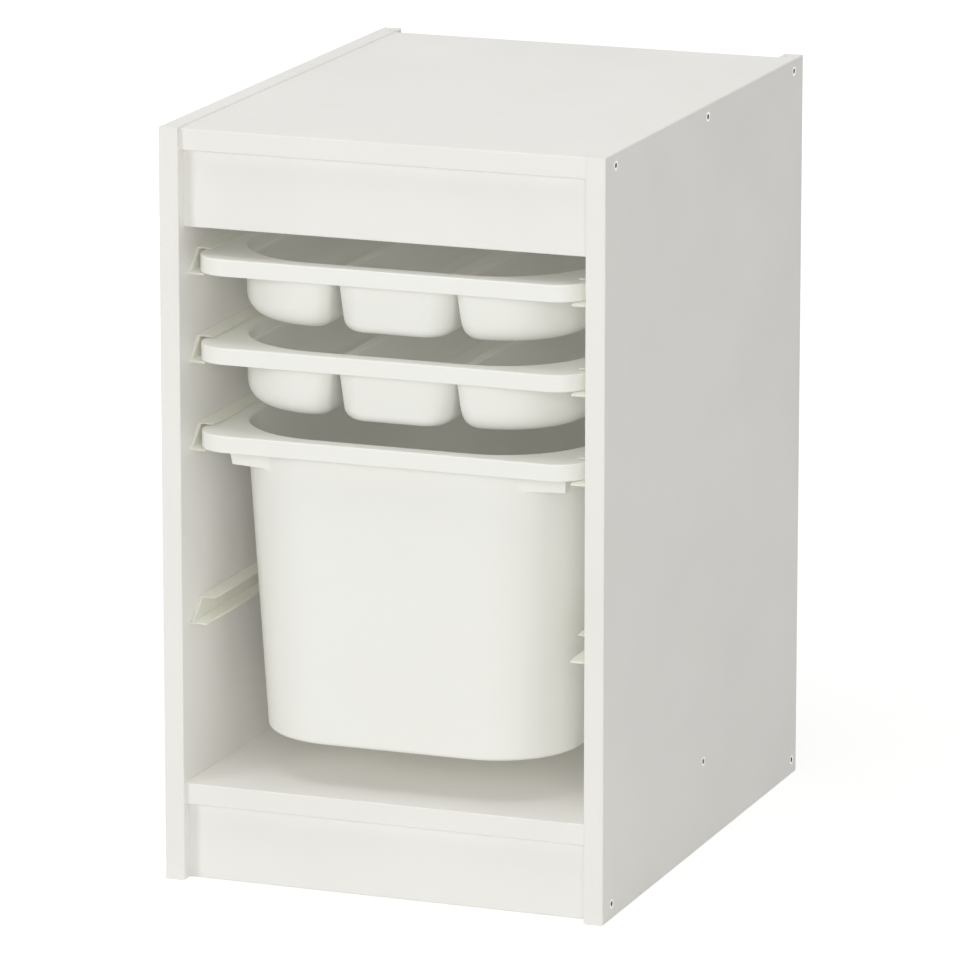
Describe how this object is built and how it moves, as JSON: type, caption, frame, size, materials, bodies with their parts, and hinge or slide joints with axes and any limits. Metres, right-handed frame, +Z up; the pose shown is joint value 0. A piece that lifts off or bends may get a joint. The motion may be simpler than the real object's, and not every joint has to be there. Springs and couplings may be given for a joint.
{
  "type": "toy storage organizer",
  "caption": "Narrow white floor-standing frame with divided toy trays above a deep bin, each hanging by its rim in side rails and pulling out forwards.",
  "frame": {"origin": "middle of the footprint, on the floor", "axes": "+X to the right seen from the front, +Y to the back, +Z up; trays and bin pull out along -Y"},
  "size_m": [0.34, 0.44, 0.56],
  "materials": {
    "white_foil_board": "particle board with matte white foil and edging",
    "white_hardboard": "thin board, painted white inside",
    "rail_plastic": "moulded off-white, satin",
    "tray_plastic": "moulded white, satin",
    "painted_screw": "white-coated head with a hex socket",
    "dowel_beech": "bare beech",
    "bright_nail": "bright zinc"
  },
  "bodies": {
    "cabinet": {"side_panel_left": "white_foil_board", "side_panel_right": "white_foil_board", "top_panel": "white_foil_board", "bottom_shelf": "white_foil_board", "front_rail": "white_foil_board", "front_plinth": "white_foil_board", "rear_plinth": "white_foil_board", "back_panel": "white_hardboard", "rail_left_1": "rail_plastic", "rail_right_1": "rail_plastic", "rail_left_2": "rail_plastic", "rail_right_2": "rail_plastic", "rail_left_3": "rail_plastic", "rail_right_3": "rail_plastic", "rail_left_4": "rail_plastic", "rail_right_4": "rail_plastic", "panel_screws_left": "painted_screw", "panel_screws_right": "painted_screw", "side_dowels_left": "dowel_beech", "side_dowels_right": "dowel_beech", "front_rail_dowels": "dowel_beech", "front_plinth_dowels": "dowel_beech", "back_panel_nails": "bright_nail"},
    "upper_tray": {"upper_tray": "tray_plastic"},
    "lower_tray": {"lower_tray": "tray_plastic"},
    "storage_bin": {"storage_bin": "tray_plastic"}
  },
  "joints": [
    {"name": "upper_tray_slide", "type": "slide", "parent": "cabinet", "child": "upper_tray", "axis": [0, -1, 0], "range_m": [0, 0.43]},
    {"name": "lower_tray_slide", "type": "slide", "parent": "cabinet", "child": "lower_tray", "axis": [0, -1, 0], "range_m": [0, 0.43]},
    {"name": "storage_bin_slide", "type": "slide", "parent": "cabinet", "child": "storage_bin", "axis": [0, -1, 0], "range_m": [0, 0.43]}
  ]
}
